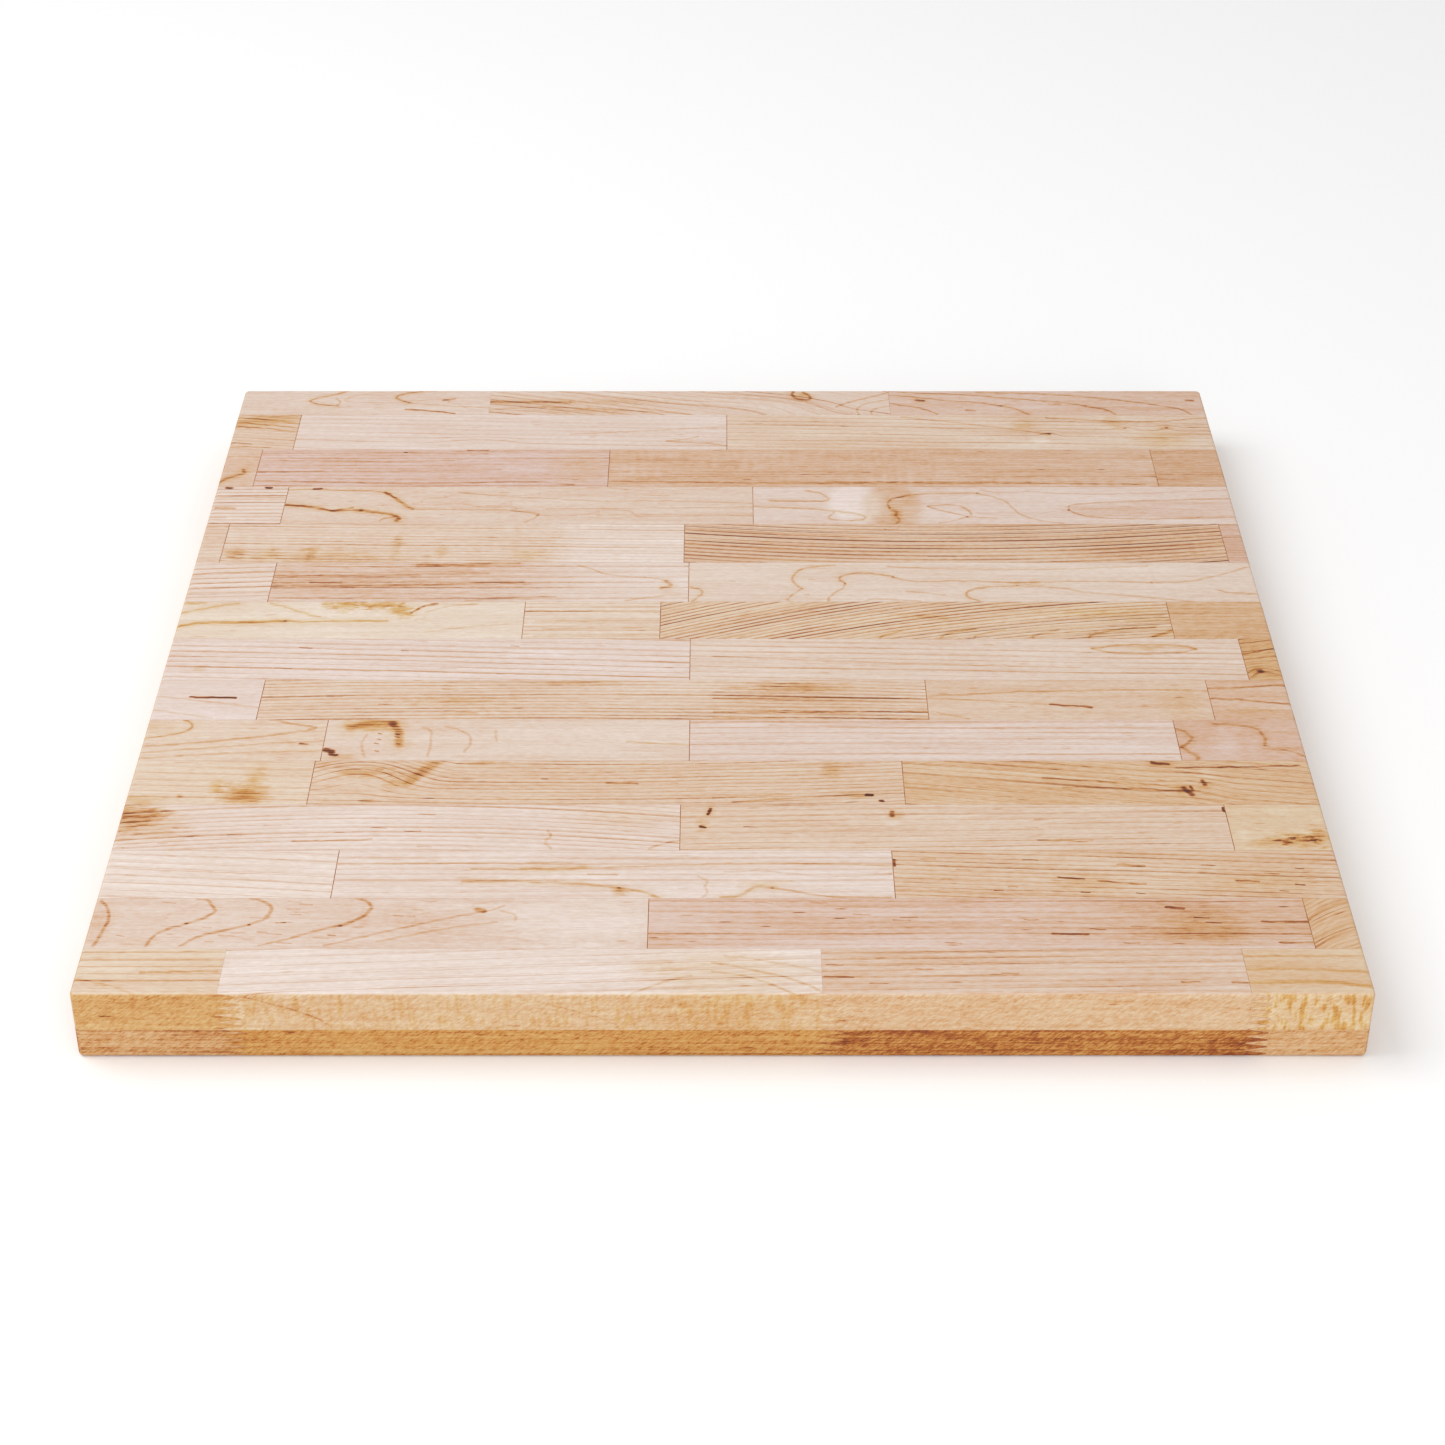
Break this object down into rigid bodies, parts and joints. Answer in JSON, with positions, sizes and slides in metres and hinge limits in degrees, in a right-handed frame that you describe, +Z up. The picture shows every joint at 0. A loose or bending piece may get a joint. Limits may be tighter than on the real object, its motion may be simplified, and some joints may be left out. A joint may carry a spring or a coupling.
{
  "type": "butcher block worktop",
  "caption": "Square butcher block worktop for a table or counter: two-ply maple blocks, finger-jointed end to end and glued edge to edge, with eased edges and rounded corners.",
  "frame": {"origin": "centre of the underside", "axes": "+X along the strips and the grain, to the right; +Y across the strips, to the back edge; +Z up, out of the worktop"},
  "size_m": [0.6096, 0.6096, 0.0381],
  "materials": {
    "maple_pale": "pale cream to pink hard maple sapwood, sanded, with a clear satin oil",
    "maple_rose": "pinkish tan hard maple with straight to wavy grain, sanded, with a clear satin oil",
    "maple_tan": "tan hard maple with strong grain lines, sanded, with a clear satin oil",
    "maple_amber": "amber to red-brown hard maple heartwood, sanded, with a clear satin oil"
  },
  "bodies": {
    "root": {"strip_01_block_a_lower": "maple_pale", "strip_01_block_a_upper": "maple_pale", "strip_01_block_b_lower": "maple_rose", "strip_01_block_b_upper": "maple_rose", "strip_01_block_c_lower": "maple_tan", "strip_01_block_c_upper": "maple_tan", "strip_02_block_a": "maple_rose", "strip_02_block_b": "maple_pale", "strip_02_block_c": "maple_rose", "strip_03_block_a": "maple_rose", "strip_03_block_b": "maple_rose", "strip_03_block_c": "maple_tan", "strip_03_block_d": "maple_tan", "strip_04_block_a": "maple_pale", "strip_04_block_b": "maple_pale", "strip_04_block_c": "maple_pale", "strip_05_block_a": "maple_pale", "strip_05_block_b": "maple_pale", "strip_05_block_c": "maple_tan", "strip_05_block_d": "maple_tan", "strip_06_block_a": "maple_pale", "strip_06_block_b": "maple_rose", "strip_06_block_c": "maple_pale", "strip_07_block_a": "maple_pale", "strip_07_block_b": "maple_pale", "strip_07_block_c": "maple_tan", "strip_07_block_d": "maple_tan", "strip_08_block_a": "maple_pale", "strip_08_block_b": "maple_rose", "strip_08_block_c": "maple_amber", "strip_09_block_a": "maple_pale", "strip_09_block_b": "maple_rose", "strip_09_block_c": "maple_rose", "strip_09_block_d": "maple_tan", "strip_10_block_a": "maple_pale", "strip_10_block_b": "maple_pale", "strip_10_block_c": "maple_pale", "strip_10_block_d": "maple_rose", "strip_11_block_a": "maple_pale", "strip_11_block_b": "maple_rose", "strip_11_block_c": "maple_tan", "strip_12_block_a": "maple_pale", "strip_12_block_b": "maple_rose", "strip_12_block_c": "maple_tan", "strip_13_block_a": "maple_pale", "strip_13_block_b": "maple_pale", "strip_13_block_c": "maple_tan", "strip_14_block_a": "maple_pale", "strip_14_block_b": "maple_rose", "strip_14_block_c": "maple_tan", "strip_15_block_a_lower": "maple_amber", "strip_15_block_a_upper": "maple_pale", "strip_15_block_b_lower": "maple_amber", "strip_15_block_b_upper": "maple_pale", "strip_15_block_c_lower": "maple_amber", "strip_15_block_c_upper": "maple_rose", "strip_15_block_d_lower": "maple_amber", "strip_15_block_d_upper": "maple_tan"}
  },
  "joints": []
}
